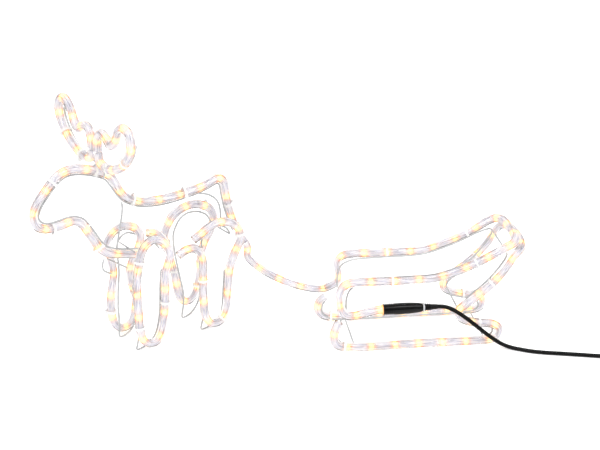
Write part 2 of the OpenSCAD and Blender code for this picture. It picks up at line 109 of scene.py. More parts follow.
def in_sleigh(points):
    """Points of the sleigh's own frame, in the shared frame."""
    return [(SLEIGH_AT[0] + x, SLEIGH_AT[1] + y, z) for x, y, z in points]


def slopes(p, closed):
    """The curve's slope at each point, from the points before and after it."""
    n = len(p)
    out = []
    for i in range(n):
        a = p[(i - 1) % n] if closed else p[max(i - 1, 0)]
        c = p[(i + 1) % n] if closed else p[min(i + 1, n - 1)]
        out.append((c - a) / (np.linalg.norm(c - p[i]) + np.linalg.norm(p[i] - a)))
    return out


def smooth(points, closed=False):
    """A dense smooth curve through points in millimetres, returned in metres."""
    p = [np.array(q, float) / 1000 for q in points]
    t = slopes(p, closed)
    n = len(p)
    out = []
    for i in range(n if closed else n - 1):
        a, b = p[i], p[(i + 1) % n]
        d = np.linalg.norm(b - a)
        ta, tb = d * t[i], d * t[(i + 1) % n]
        for k in range(SPAN_STEPS):
            u = k / SPAN_STEPS
            out.append(
                (2 * u**3 - 3 * u**2 + 1) * a
                + (u**3 - 2 * u**2 + u) * ta
                + (3 * u**2 - 2 * u**3) * b
                + (u**3 - u**2) * tb
            )
    if not closed:
        out.append(p[-1])
    return np.array(out)


def side_of(heading):
    """A unit vector square to a heading, and level unless the heading is steep."""
    seed = np.array([0, 0, 1.0]) if abs(heading[2]) < 0.8 else np.array([0, 1.0, 0])
    u = np.cross(seed, heading)
    return u / np.linalg.norm(u)


class Path:
    """Evenly spaced points along a curve, with headings and a frame that doesn't twist."""

    def __init__(self, points, step=0.003, closed=False, start=0.0):
        pts = np.vstack([points, points[:1]]) if closed else np.asarray(points)
        s = np.concatenate([[0], np.cumsum(np.linalg.norm(np.diff(pts, axis=0), axis=1))])
        self.length = s[-1]
        self.closed = closed
        self.start = start
        count = max(3, int(round(self.length / step)))
        self.s = np.linspace(0, self.length, count + 1)
        if closed:
            self.s = self.s[:-1]
        self.p = np.stack([np.interp(self.s, s, pts[:, k]) for k in range(3)], 1)
        if closed:
            ahead, behind = np.roll(self.p, -1, 0), np.roll(self.p, 1, 0)
        else:
            ahead = np.vstack([self.p[1:], self.p[-1:]])
            behind = np.vstack([self.p[:1], self.p[:-1]])
        t = ahead - behind
        self.t = t / np.linalg.norm(t, axis=1)[:, None]
        self.u = self._frames()
        self.v = np.cross(self.t, self.u)

    def _frames(self):
        out = [side_of(self.t[0])]
        for t in self.t[1:]:
            w = out[-1] - np.dot(out[-1], t) * t
            out.append(w / np.linalg.norm(w))
        out = np.array(out)
        if not self.closed:
            return out
        # A closed loop's frame comes back turned, so the turn is spread along it.
        w = out[-1] - np.dot(out[-1], self.t[0]) * self.t[0]
        w /= np.linalg.norm(w)
        off = math.atan2(np.dot(np.cross(w, out[0]), self.t[0]), np.dot(w, out[0]))
        n = len(out)
        spun = []
        for i, (u, t) in enumerate(zip(out, self.t)):
            a = off * i / n
            spun.append(math.cos(a) * u + math.sin(a) * np.cross(t, u))
        return np.array(spun)

    def at(self, s):
        """(point, heading, u, v) at a distance along the path."""
        steps = len(self.s) - 1 + self.closed
        i = min(len(self.s) - 1, int(round(s / self.length * steps)))
        return self.p[i], self.t[i], self.u[i], self.v[i]

    def cut(self, a, b):
        """The stretch from distance a to distance b, which keeps counting from the whole."""
        keep = (self.s > a + 1e-6) & (self.s < b - 1e-6)
        first, last = (
            np.array([[np.interp(q, self.s, self.p[:, k]) for k in range(3)]]) for q in (a, b))
        return Path(np.vstack([first, self.p[keep], last]), start=self.start + a)


HEAD = [
    (-64, 214), (-76, 220), (-97, 218), (-119, 218), (-133, 227), (-137, 243), (-130, 257),
    (-116, 273), (-101, 288), (-86, 296), (-68, 297), (-48, 292), (-30, 285), (-15, 276)]
BACK = [
    (-6, 263), (2, 248), (12, 236), (26, 228), (46, 222), (75, 219), (105, 220), (136, 223),
    (152, 227)]
RUMP = [
    (164, 231), (174, 229), (180, 220), (182, 205), (186, 185), (193, 163), (202, 141), (212, 121),
    (222, 104)]
CHEST = [(32, 142), (10, 147), (-10, 152), (-25, 158), (-37, 169), (-47, 186), (-57, 203)]
TOW = [
    (-120, 110, 92), (-109, 105, 80), (-93, 98, 69), (-72, 89, 60), (-50, 78, 54), (-30, 70, 51)]
TOW_STUB = [(-16, 66, 50), (-4, 62, 53)]
FRONT_FAR = [(12, 68), (14, 82), (11, 96), (16, 108), (29, 112)]
FRONT_NEAR = [
    (19, 112), (7, 108), (1, 98), (0, 85), (2, 71), (8, 61), (20, 58), (34, 60.5), (48, 64),
    (62, 66), (79, 66)]
RAIL = [(70, 112), (110, 112), (140, 113), (165, 119), (200, 132), (230, 147), (248, 157)]
UPPER_CROSS = [(258, -49, 161), (264, -38, 163), (266, -18, 164)]
LOWER_CROSS = [(265, -51, 148), (272, -43, 151), (277, -20, 152)]
RUNNER_FRONT_NEAR = [(-1, 49), (-5, 40), (-8, 30), (-8, 21), (-3, 12), (7, 8)]
RUNNER_FRONT_FAR = [(-6, 43), (-13, 38), (-17, 28), (-16, 18), (-9, 11), (1, 7.6)]
RUNNER = [(16, GROUND_Z + 0.6), (34, GROUND_Z), (90, GROUND_Z), (160, GROUND_Z), (220, GROUND_Z)]
HEEL = [
    (232, GROUND_Z + 0.6), (241, 12), (243, 23), (232, 32), (212, 35), (192, 40), (181, 48),
    (181, 59), (190, 67)]
BACK_EDGE = [(204, 78), (224, 95), (245, 119), (259, 142)]
FRONT_LEG_NEAR = [
    (36, 175), (23, 172), (13, 161), (8, 145), (4, 125), (2, 100), (3, 68), (4, 40), (9, 21),
    (20, 11), (32, 12), (42, 27), (48, 56), (50, 90), (51, 116), (57, 134), (60, 149), (51, 165)]
FRONT_LEG_FAR = [
    (21, 177), (5, 172), (-6, 160), (-8, 146), (-3, 130), (1, 108), (-3, 85), (-6, 50), (-1, 24),
    (11, 12), (25, 15), (34, 31), (38, 56), (32, 82), (30, 104), (37, 122), (46, 138), (49, 157),
    (39, 171)]
HIND_LEG_NEAR = [
    (75, 140), (90, 145), (104, 143), (113, 133), (117, 116), (116, 85), (116, 54), (119, 27),
    (130, 12), (145, 12), (156, 26), (161, 58), (165, 96), (174, 118), (184, 138), (181, 157),
    (167, 170), (148, 175), (128, 171), (112, 162.5), (102, 158)]
HIND_LEG_FAR = [
    (63, 156), (76, 152), (87, 142), (94, 126), (99, 106), (107, 72), (113, 42), (120, 28),
    (131, 24), (143, 34), (150, 56), (156, 92), (164, 117), (175, 135), (181, 153), (173, 170),
    (156, 180), (137, 183), (119, 179)]
# The far hind rope's last stretch comes down on the outer side of its own knee
HIND_FAR_END = [
    (107, LEG_HALF + 0.8, 171), (103, LEG_HALF + 3.5, 162), (101, LEG_HALF + 9, 150),
    (101, LEG_HALF + 13.5, 137), (102, LEG_HALF + 14.5, 122)]
ANTLER = [
    (9, 316), (12, 305), (26, 300), (50, 303), (77, 316), (96, 334), (104, 353), (99, 368),
    (85, 373), (70, 364), (59, 347), (47, 338), (34, 345), (20, 348), (10, 338), (8, 327)]


def mirrored(points):
    """Points of one side, followed back along the other side."""
    return points + [(x, -y, z) for x, y, z in reversed(points)]


def leg_path(points, side, closed):
    """A leg's rope: side is -1 for the near legs and 1 for the far ones."""
    return Path(smooth(in_reindeer(upright(points, side * LEG_HALF)), closed), closed=closed)


def antler_path(side):
    """An antler's closed loop, in the upright plane across the head."""
    points = [(ANTLER_X, side * y, z) for y, z in ANTLER]
    return Path(smooth(in_reindeer(points), True), closed=True)


# The fed rope is one length: chest, head, back, rump, tow, far side of the
# sleigh, across its back and along the near side into the connector.
REINDEER_RUN = in_reindeer(upright(CHEST + HEAD + BACK + RUMP, 0))
TOW_RUN = in_sleigh(TOW + TOW_STUB)
SLEIGH_RUN = in_sleigh(
    upright(FRONT_FAR + RAIL, SIDE_HALF)
    + [(x, -y, z) for x, y, z in mirrored(UPPER_CROSS)]
    + upright(list(reversed(RAIL)) + FRONT_NEAR, -SIDE_HALF))
fed_rope = Path(smooth(REINDEER_RUN + TOW_RUN + SLEIGH_RUN))


def distance_to(path, point):
    """How far along the path it passes closest to a point in millimetres."""
    return path.s[np.argmin(np.linalg.norm(path.p - np.array(point) / 1000, axis=1))]


front_joint = distance_to(fed_rope, in_sleigh([FRONT_JOINT])[0])
rear_joint = distance_to(fed_rope, in_sleigh([REAR_JOINT])[0])
tow_start = front_joint - SEAM
tow_middle = (front_joint + rear_joint) / 2
tow_end = rear_joint + SEAM

# The other length runs along one runner, across the back and along the other
SIDE = RUNNER + HEEL + BACK_EDGE
lower_rope = Path(smooth(in_sleigh(
    upright(RUNNER_FRONT_NEAR + SIDE, -SIDE_HALF) + mirrored(LOWER_CROSS)
    + list(reversed(upright(RUNNER_FRONT_FAR + SIDE, SIDE_HALF))))))

# ---------------------------------------------------------------- camera

# Fitted to the photo: it looks down by CAMERA_DOWN and to the right by CAMERA_RIGHT
CAMERA_AT = (-0.2196, -1.9095, 0.9794)
CAMERA_DOWN = 22.56
CAMERA_RIGHT = 7.31

camera_data = bpy.data.cameras.new("camera")
camera_data.lens = 84.4
camera_data.sensor_width = 36
camera = bpy.data.objects.new("camera", camera_data)
camera.location = CAMERA_AT
camera.rotation_euler = (math.radians(90 - CAMERA_DOWN), 0, math.radians(-CAMERA_RIGHT))
bpy.context.collection.objects.link(camera)
bpy.context.scene.camera = camera

# ---------------------------------------------------------------- materials

# Radians a metre of the colour bands along a resistor
BANDS = 4200
# How light the black plastics are where they are darkest
BLACK = 0.002


def new_material(name, **sockets):
    """A material and its shader, with constants on the shader's own sockets."""
    material = bpy.data.materials.new(name)
    material.use_nodes = True
    shader = material.node_tree.nodes["Principled BSDF"]
    for key, value in sockets.items():
        shader.inputs[key.replace("_", " ")].default_value = value
    return material, shader


def add(material, kind, **values):
    """A new node, with its properties and the values of its sockets."""
    node = material.node_tree.nodes.new(kind)
    for key, value in values.items():
        if key in node.bl_rna.properties:
            setattr(node, key, value)
        else:
            node.inputs[key.replace("_", " ")].default_value = value
    return node


def link(material, a, b):
    """Joins one node's output to another's input."""
    material.node_tree.links.new(a, b)


def noise_over(material, place, scale, detail, stretch):
    """The value of a noise over a set of coordinates, stretched along an axis."""
    mapping = add(material, "ShaderNodeMapping", Scale=stretch)
    noise = add(material, "ShaderNodeTexNoise", Scale=scale, Detail=detail)
    link(material, place, mapping.inputs["Vector"])
    link(material, mapping.outputs["Vector"], noise.inputs["Vector"])
    return noise.outputs["Fac"]


def mapped_noise(material, scale, detail=4, stretch=(1, 1, 1)):
    """Noise in object space."""
    coords = add(material, "ShaderNodeTexCoord")
    return noise_over(material, coords.outputs["Object"], scale, detail, stretch)


def streaks(material, fine, detail=3):
    """Noise drawn out along the rope, from the coordinates that each rope piece carries."""
    coords = add(material, "ShaderNodeAttribute", attribute_name="lay")
    return noise_over(material, coords.outputs["Vector"], fine, detail, (1, 1, 0.06))


def ramp(material, source, stops):
    """The colour of a ramp over a source, from (place, colour) stops."""
    node = add(material, "ShaderNodeValToRGB")
    elements = node.color_ramp.elements
    while len(elements) < len(stops):
        elements.new(0.5)
    for element, (place, colour) in zip(elements, stops):
        element.position = place
        element.color = (*colour, 1)
    link(material, source, node.inputs["Fac"])
    return node.outputs["Color"]


def drive(material, shader, socket, source, stops):
    """Sets one of the shader's sockets from a ramp over a source."""
    link(material, ramp(material, source, stops), shader.inputs[socket])


def grey(level):
    """A neutral colour, or one value for a ramp."""
    return (level, level, level)


def bump(material, shader, height, strength, distance):
    """Fine relief from a height, in metres."""
    node = add(material, "ShaderNodeBump", Strength=strength, Distance=distance)
    link(material, height, node.inputs["Height"])
    link(material, node.outputs["Normal"], shader.inputs["Normal"])


def tint(material, colour, shade):
    """One colour multiplied by another."""
    node = add(material, "ShaderNodeMix", data_type="RGBA", blend_type="MULTIPLY")
    node.inputs["Factor"].default_value = 1.0
    colours = [socket for socket in node.inputs if socket.type == "RGBA"]
    link(material, colour, colours[0])
    link(material, shade, colours[1])
    return [socket for socket in node.outputs if socket.type == "RGBA"][0]


def lit(material, shader, stops, low, high, shade):
    """Painted light: colour and emission from low between the LEDs to high beside each, standing in
    for the LEDs' light on this part.
    """
    glow = add(material, "ShaderNodeAttribute", attribute_name="glow")
    # Painted light: the base colour is warmed beside each LED
    colour = tint(material, ramp(material, glow.outputs["Fac"], stops), shade)
    link(material, colour, shader.inputs["Base Color"])
    # Painted glow: emission rises beside each LED, though the part is no lamp
    power = add(material, "ShaderNodeMath", operation="MULTIPLY_ADD")
    power.inputs[1].default_value = high - low
    power.inputs[2].default_value = low
    link(material, glow.outputs["Fac"], power.inputs[0])
    link(material, colour, shader.inputs["Emission Color"])
    link(material, power.outputs["Value"], shader.inputs["Emission Strength"])


def jacket_material():
    """Clear PVC with drawn streaks, and painted light where an LED lights it: an orange and pink
    tint and a faint glow.
    """
    material, shader = new_material(
        "clear_jacket", IOR=1.33, Transmission_Weight=1.0, Specular_IOR_Level=0.5)
    grain = streaks(material, 520)
    shade = ramp(material, grain, [(0.3, (0.93, 0.935, 0.96)), (0.6, (0.99, 0.99, 1.0))])
    drive(material, shader, "Roughness", grain, [(0.3, grey(0.16)), (0.7, grey(0.05))])
    # Painted light: a warm tint and a faint glow beside each LED
    lit(material, shader, [
        (0.02, (1, 1, 1)), (0.12, (1, 0.92, 0.89)), (0.5, (1, 0.89, 0.8)), (1.0, (1, 0.93, 0.74))],
        0.0, 0.1, shade)
    bump(material, shader, grain, 0.2, 0.0004)
    return material


def core_material():
    """Milky PVC with a painted glow: a little everywhere, for the light it carries along and the
    light that doesn't reach it through the jacket, and yellow-white beside each LED.
    """
    material, shader = new_material(
        "milky_core", Roughness=0.35, IOR=1.45, Transmission_Weight=0.25)
    grain = streaks(material, 900, 4)
    shade = ramp(material, grain, [
        (0.36, (0.46, 0.46, 0.52)), (0.48, (0.8, 0.8, 0.84)), (0.6, (0.98, 0.98, 0.99))])
    # Painted glow: emission of 0.2 everywhere, rising to about 0.5 beside each LED, with a warm
    # painted tint there
    lit(material, shader, [
        (0.02, (0.97, 0.97, 1.0)), (0.15, (1, 0.89, 0.84)), (0.5, (1, 0.8, 0.6)),
        (1.0, (1, 0.87, 0.56))], 0.2, 0.5, shade)
    bump(material, shader, grain, 0.5, 0.0006)
    return material


def wire_material():
    """Steel wire under a thin light grey coat, with uneven gloss."""
    material, shader = new_material("coated_wire", Metallic=0.1, Roughness=0.4, Coat_Weight=0.25)
    noise = mapped_noise(material, 160, 5)
    drive(material, shader, "Base Color", noise, [
        (0.3, (0.4, 0.41, 0.42)), (0.55, (0.5, 0.51, 0.52)), (0.8, grey(0.58))])
    drive(material, shader, "Roughness", noise, [(0.35, grey(0.3)), (0.7, grey(0.5))])
    bump(material, shader, noise, 0.25, 0.0003)
    return material


def glowing_material(name, base, roughness, strength, dim, bright):
    """Something clear that glows and shades from dim to bright: the LEDs' own light, and a painted
    glow on the mouth sleeve.
    """
    material, shader = new_material(
        name, Base_Color=base, Roughness=roughness, Emission_Strength=strength)
    noise = mapped_noise(material, 900, 2)
    drive(material, shader, "Emission Color", noise, [(0.35, dim), (0.65, bright)])
    return material


def conductor_material():
    """Tinned copper strands, with a painted orange glow and tint beside each LED."""
    material, shader = new_material("tinned_copper", Metallic=1.0, Roughness=0.35)
    noise = mapped_noise(material, 700, 3)
    shade = ramp(material, noise, [(0.3, (0.8, 0.76, 0.75)), (0.7, (0.92, 0.9, 0.9))])
    # Painted light: orange tint and glow beside each LED
    lit(material, shader, [
        (0.02, (0.9, 0.88, 0.9)), (0.2, (1, 0.5, 0.4)), (0.6, (1, 0.5, 0.2)), (1.0, (1, 0.6, 0.2))],
        0.0, 0.6, shade)
    bump(material, shader, noise, 0.4, 0.0002)
    return material


def resistor_material():
    """A small resistor's glazed body, banded along its length."""
    material, shader = new_material("resistor_glaze", Roughness=0.3, Coat_Weight=0.4)
    coords = add(material, "ShaderNodeAttribute", attribute_name="lay")
    split = add(material, "ShaderNodeSeparateXYZ")
    link(material, coords.outputs["Vector"], split.inputs["Vector"])
    wave = add(material, "ShaderNodeMath", operation="SINE")
    turns = add(material, "ShaderNodeMath", operation="MULTIPLY")
    turns.inputs[1].default_value = BANDS
    link(material, split.outputs["Z"], turns.inputs[0])
    link(material, turns.outputs["Value"], wave.inputs[0])
    drive(material, shader, "Base Color", wave.outputs["Value"], [
        (0.2, (0.62, 0.5, 0.4)), (0.55, (0.72, 0.6, 0.5)), (0.8, (0.5, 0.24, 0.18))])
    return material


def black_material(name, roughness, grain, depth, gloss):
    """Moulded black plastic or rubber, with grain and rubbed highlights."""
    material, shader = new_material(name, Roughness=roughness, Specular_IOR_Level=gloss)
    noise = mapped_noise(material, grain, 6)
    drive(material, shader, "Base Color", noise, [(0.35, grey(BLACK)), (0.75, grey(2.2 * BLACK))])
    low, high = roughness - 0.06, roughness + 0.1
    drive(material, shader, "Roughness", noise, [(0.3, grey(low)), (0.7, grey(high))])
    bump(material, shader, noise, 0.15, depth)
    return material


def tie_material():
    """Natural nylon: milky and half clear."""
    material, shader = new_material(
        "natural_nylon", Roughness=0.35, IOR=1.4, Transmission_Weight=0.12)
    noise = mapped_noise(material, 260, 4)
    drive(material, shader, "Base Color", noise, [
        (0.3, (0.93, 0.93, 0.925)), (0.7, (0.985, 0.985, 0.98))])
    bump(material, shader, noise, 0.15, 0.0003)
    return material


def grey_rubber_material():
    """Matt grey rubber, a little mottled."""
    material, shader = new_material("grey_seal", Roughness=0.6)
    noise = mapped_noise(material, 800, 4)
    drive(material, shader, "Base Color", noise, [
        (0.3, (0.42, 0.43, 0.44)), (0.7, (0.6, 0.61, 0.62))])
    bump(material, shader, noise, 0.2, 0.0002)
    return material


def nickel_material():
    """Plated metal, brushed along the pin."""
    material, shader = new_material("nickel_pin", Metallic=1.0, Roughness=0.22)
    noise = mapped_noise(material, 600, 3, (1, 0.15, 1))
    drive(material, shader, "Base Color", noise, [
        (0.3, (0.6, 0.58, 0.54)), (0.7, (0.8, 0.79, 0.76))])
    bump(material, shader, noise, 0.2, 0.0001)
    return material


JACKET = jacket_material()
CORE = core_material()
WIRE = wire_material()
LAMP = glowing_material(
    "lit_led", (1, 0.93, 0.75, 1), 0.25, 2.6, (1, 0.74, 0.36), (1, 0.86, 0.58))
CONDUCTOR = conductor_material()
NYLON = tie_material()
RESISTOR = resistor_material()
CONNECTOR = black_material("black_connector", 0.14, 300, 0.00002, 0.2)
RUBBER = black_material("black_rubber", 0.28, 900, 0.0001, 0.16)
SHEATH = black_material("black_sheath", 0.28, 900, 0.00005, 0.14)
# Painted glow: the sleeve is no lamp; its orange emission stands in for the last LED's light
PAINTED_GLOW_SLEEVE = glowing_material(
    "painted_glow_sleeve", (1, 0.55, 0.25, 1), 0.3, 0.8, (1, 0.22, 0.03), (1, 0.45, 0.1))
SEAL = grey_rubber_material()
NICKEL = nickel_material()

# ---------------------------------------------------------------- mesh tools


class Build:
    """Gathers vertices and faces, and makes one object of them.

    Each vertex also carries "glow", how strongly the painted glow of an LED shows
    there, and "lay", its place in the rope: across it twice, and along it.
    """

    def __init__(self):
        self.points = []
        self.faces = []
        self.glow = []
        self.lay = []

    def rings(self, rings, closed=False, glow=None, lay=None):
        """Joins rings of equal count into a tube, capped at both ends unless it is closed."""
        base = len(self.points)
        n, k = len(rings), len(rings[0])
        for i, ring in enumerate(rings):
            self.points += [tuple(p) for p in ring]
            self.glow += [0.0 if glow is None else float(glow[i])] * k
            self.lay += [(0.0, 0.0, 0.0)] * k if lay is None else lay[i]
        for i in range(n if closed else n - 1):
            a, b = base + i * k, base + ((i + 1) % n) * k
            for j in range(k):
                m = (j + 1) % k
                self.faces.append((a + j, a + m, b + m, b + j))
        if not closed:
            self.faces.append(tuple(base + j for j in reversed(range(k))))
            self.faces.append(tuple(base + (n - 1) * k + j for j in range(k)))

    def tube(self, path, radius, sides, glow=None, offset=(0, 0), twist=0.0, flutes=0.0):
        """A tube along a path, or beside it by offset, which can wind round it.

        Flutes is how deep every fourth corner is set in, as a part of the radius.
        """
        rings, lay = [], []
        angles = [2 * math.pi * j / sides for j in range(sides)]
        radii = [radius * (1 - flutes * (j % 4 == 0)) for j in range(sides)]
        for i in range(len(path.p)):
            s = path.start + path.s[i]
            a = twist * s
            x = math.cos(a) * offset[0] - math.sin(a) * offset[1]
            y = math.sin(a) * offset[0] + math.cos(a) * offset[1]
            centre = path.p[i] + x * path.u[i] + y * path.v[i]
            rings.append([
                centre + r * (math.cos(b + a) * path.u[i] + math.sin(b + a) * path.v[i])
                for r, b in zip(radii, angles)])
            lay.append([
                (r * math.cos(b), r * math.sin(b), float(s)) for r, b in zip(radii, angles)])
        self.rings(rings, path.closed, glow, lay)

    def lathe(self, origin, axis, profile, sides=48):
        """A turned shape: profile is (distance along the axis, radius) in metres."""
        t = np.array(axis, float)
        t /= np.linalg.norm(t)
        u = side_of(t)
        v = np.cross(t, u)
        rings = []
        for along, radius in profile:
            rings.append([
                np.array(origin) + along * t + radius * (math.cos(a) * u + math.sin(a) * v)
                for a in 2 * math.pi * np.arange(sides) / sides])
        self.rings(rings)

    def make(self, name, material, body, slot, replaces=(), smooth_angle=40):
        """The object: it rides on a body, unless it runs from one body to the next."""
        mesh = bpy.data.meshes.new(name)
        mesh.from_pydata(self.points, [], self.faces)
        mesh.validate()
        if any(self.glow):
            mesh.attributes.new("glow", "FLOAT", "POINT").data.foreach_set("value", self.glow)
        if any(q[2] for q in self.lay):
            flat = [c for q in self.lay for c in q]
            mesh.attributes.new("lay", "FLOAT_VECTOR", "POINT").data.foreach_set("vector", flat)
        mesh.materials.append(material)
        obj = bpy.data.objects.new(name, mesh)
        bpy.context.collection.objects.link(obj)
        mesh.shade_smooth()
        mesh.set_sharp_from_angle(angle=math.radians(smooth_angle))
        if body:
            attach(obj, body)
        if replaces:
            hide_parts(*replaces)
        return obj


# ---------------------------------------------------------------- power lead

LEAD_POINTS = [
    (207, -67.8, 66), (224, -67.8, 66), (233, -68.8, 65.4), (242, -72, 63.2), (252, -77, 58.6),
    (263, -81.4, 51.5), (274, -83.6, 42.6), (285, -84.6, 33), (296, -85, 23.6), (307, -86, 15),
    (318, -88.6, 8.2), (330, -93, 4.2), (343, -99.4, 3.1), (358, -107.5, 3.1), (377, -114.5, 3.1),
    (400, -120.5, 3.1), (426, -127.5, 3.1), (455, -135.5, 3.1), (484, -141.5, 3.1)]
COIL_AT = (521, -108.5)
# Degrees round the coil where the lead comes in; it leaves at 0
COIL_START = -102
# Radius and height of each turn: three below from the outside in, two above
COIL_TURNS = [(40.2, 3.1), (34.0, 3.1), (27.8, 3.1), (30.9, 8.5), (37.1, 8.5)]
# Points in each turn
COIL_STEPS = 30
# The last part of each turn, where it slides into the next one
COIL_SLIDE = 0.22
# From the coil to the plug, measured from the coil's middle
TAIL = [(37, 10, 9.1), (37, 21, 11.5), (37, 31, 12.5), (37, 38, 12.5)]


def coil_points():
    """Points along the coil's turns, from where the lead comes in to where it leaves."""
    out = []
    last = len(COIL_TURNS) - 1
    count = int(COIL_STEPS * (len(COIL_TURNS) - COIL_START / 360))
    for k in range(count + 1):
        turn = k / COIL_STEPS
        i = min(int(turn), last)
        j = min(i + 1, last)
        f = max(0.0, (turn - i - (1 - COIL_SLIDE)) / COIL_SLIDE) if i < last else 0.0
        f = f * f * (3 - 2 * f)
        r = COIL_TURNS[i][0] * (1 - f) + COIL_TURNS[j][0] * f
        z = COIL_TURNS[i][1] * (1 - f) + COIL_TURNS[j][1] * f
        a = math.radians(COIL_START) + 2 * math.pi * turn
        out.append((COIL_AT[0] + r * math.cos(a), COIL_AT[1] + r * math.sin(a), z))
    return out


tail_points = [(COIL_AT[0] + x, COIL_AT[1] + y, z) for x, y, z in TAIL]
lead_path = Path(smooth(LEAD_POINTS + coil_points() + tail_points), 0.0025)
lead_build = Build()
lead_build.tube(lead_path, LEAD_D / 2, 16)
power_lead = lead_build.make(
    "power_lead_sheath", SHEATH, "sleigh", "lead", ("power_lead", "lead_coil", "lead_tail"))

# ---------------------------------------------------------------- connector

connector_low, connector_high = (Vector(c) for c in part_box("connector_body"))
axis_y = (connector_low.y + connector_high.y) / 2
axis_z = (connector_low.z + connector_high.z) / 2
connector_at = (connector_low.x, axis_y, axis_z)
CONTACT_R = 0.0006


def mm_profile(pairs):
    """(Along, radius) pairs in millimetres, in metres."""
    return [(a / 1000, r / 1000) for a, r in pairs]


def connector():
    """A ribbed grip at the rope's side, then a glossy barrel that swells and rounds in."""
    build = Build()
    profile = [(15.8, 0.6), (15.8, 6.7), (0.4, 6.75), (0.0, 7.1), (0.1, 7.6), (0.6, 7.8)]
    for i in range(5):
        a = 0.8 + 3 * i
        profile += [
            (a, 8.3), (a + 0.2, 8.65), (a + 0.45, 8.75), (a + 0.95, 8.75), (a + 1.2, 8.65),
            (a + 1.4, 8.3), (a + 1.6, 7.15), (a + 2.8, 7.15)]
    profile += [
        (15.6, 7.8), (15.8, 8.2), (16.4, 8.4), (20.0, 8.6), (27.0, 8.68), (34.0, 8.58),
        (34.2, 8.42), (34.8, 8.42), (35.0, 8.54), (41.0, 8.28), (48.0, 7.8), (54.0, 7.25),
        (57.0, 6.75), (59.0, 6.1), (59.8, 5.6), (60.0, 5.2), (60.0, 1.6), (17.0, 1.6), (17.0, 0.6)]
    build.lathe(connector_at, (1, 0, 0), mm_profile(profile), 64)
    build.make("connector_shell", CONNECTOR, "sleigh", "connector", ("connector_body",), 35)


def mouth_ring():
    """A clear sleeve round the rope where it goes in, with a painted orange glow that stands in for
    the last LED's light.
    """
    build = Build()
    build.lathe(connector_at, (1, 0, 0), mm_profile([
        (0.3, 6.55), (-0.9, 6.55), (-1.1, 6.8), (-1.0, 7.6), (-0.7, 7.9), (-0.1, 7.9), (-0.02, 7.2),
        (0.3, 6.7), (0.3, 6.55)]), 64)
    build.make("mouth_sleeve_painted_glow", PAINTED_GLOW_SLEEVE, "sleigh", "led", (), 50)


def seal_ring():
    """The grey ring between the connector and its strain relief."""
    build = Build()
    low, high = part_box("connector_seal")
    t = (high[0] - low[0]) * 1000
    profile = [
        (0.1, 4.1), (0.0, 6.35), (0.3, 6.75), (t - 0.3, 6.75), (t, 6.35), (t - 0.1, 4.1),
        (0.1, 4.1)]
    build.lathe((low[0], axis_y, axis_z), (1, 0, 0), mm_profile(profile), 64)
    build.make("seal_ring", SEAL, "sleigh", "seal", ("connector_seal",), 35)


def strain_relief():
    """A tapered sleeve with three bold rounded rings, then a plain flexible neck."""
    build = Build()
    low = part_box("strain_relief")[0]
    profile = [(4.0, 3.1), (0.0, 3.1), (0.0, 4.4), (0.3, 4.7)]
    for i in range(3):
        a = 0.8 + 3.2 * i
        r = 5.7 - 0.2 * i
        profile += [
            (a, r - 1.6), (a + 0.1, r - 0.4), (a + 0.45, r - 0.05), (a + 1.0, r),
            (a + 1.55, r - 0.05), (a + 1.9, r - 0.4), (a + 2.0, r - 1.6)]
    profile += [(10.0, 4.2), (14.0, 4.0), (18.6, 3.8), (19.6, 3.6), (20.0, 3.12), (16.0, 3.1)]
    build.lathe((low[0], axis_y, axis_z), (1, 0, 0), mm_profile(profile), 48)
    return build.make("relief_sleeve", RUBBER, "sleigh", "relief", ("strain_relief",), 50)


def contact_pins():
    """The two pointed pins that run into the rope's conductors, one above the other."""
    build = Build()
    low, high = (Vector(c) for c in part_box("contact_pins"))
    for z in (low.z + CONTACT_R, high.z - CONTACT_R):
        build.lathe((low.x, axis_y, z), (1, 0, 0), mm_profile([
            (0, 0.05), (1.2, 0.35), (2.2, 0.6), (13.8, 0.6), (14, 0.05)]), 16)
    build.make("contact_prongs", NICKEL, "sleigh", "contact", ("contact_pins",))


connector()
mouth_ring()
seal_ring()
relief = strain_relief()
contact_pins()

# ---------------------------------------------------------------- plug and coil tie

plug_low, plug_high = (Vector(c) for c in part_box("plug_body"))
plug_axis = ((plug_low.x + plug_high.x) / 2, plug_low.y, (plug_low.z + plug_high.z) / 2)


def plug():
    """A round two-pin plug: a ringed neck, a flared shoulder and a ribbed grip."""
    build = Build()
    r = (plug_high.x - plug_low.x) / 2 * 1000
    length = (plug_high.y - plug_low.y) * 1000
    profile = [(8.0, 3.1), (0.0, 3.15), (0.0, 3.9), (0.6, 4.3)]
    for i in range(5):
        a = 1.6 + 3.4 * i
        s = 4.5 + 0.55 * i
        profile += [(a, s - 0.4), (a + 0.4, s + 0.3), (a + 1.6, s + 0.45), (a + 2.2, s - 0.2)]
    profile += [(20.0, 7.0), (22.5, 8.2), (25.0, 10.8), (26.6, 12.0), (28.0, r - 0.1)]
    for i in range(6):
        a = 30.0 + 2.6 * i
        profile += [(a, r), (a + 0.3, r - 0.45), (a + 1.2, r - 0.45), (a + 1.5, r)]
    profile += [(length - 3, r), (length - 0.6, r - 0.05), (length, r - 0.7), (length, 1.0)]
    build.lathe(plug_axis, (0, 1, 0), mm_profile(profile), 64)
    return build.make("plug_shell", CONNECTOR, "sleigh", "plug", ("plug_body",), 40)


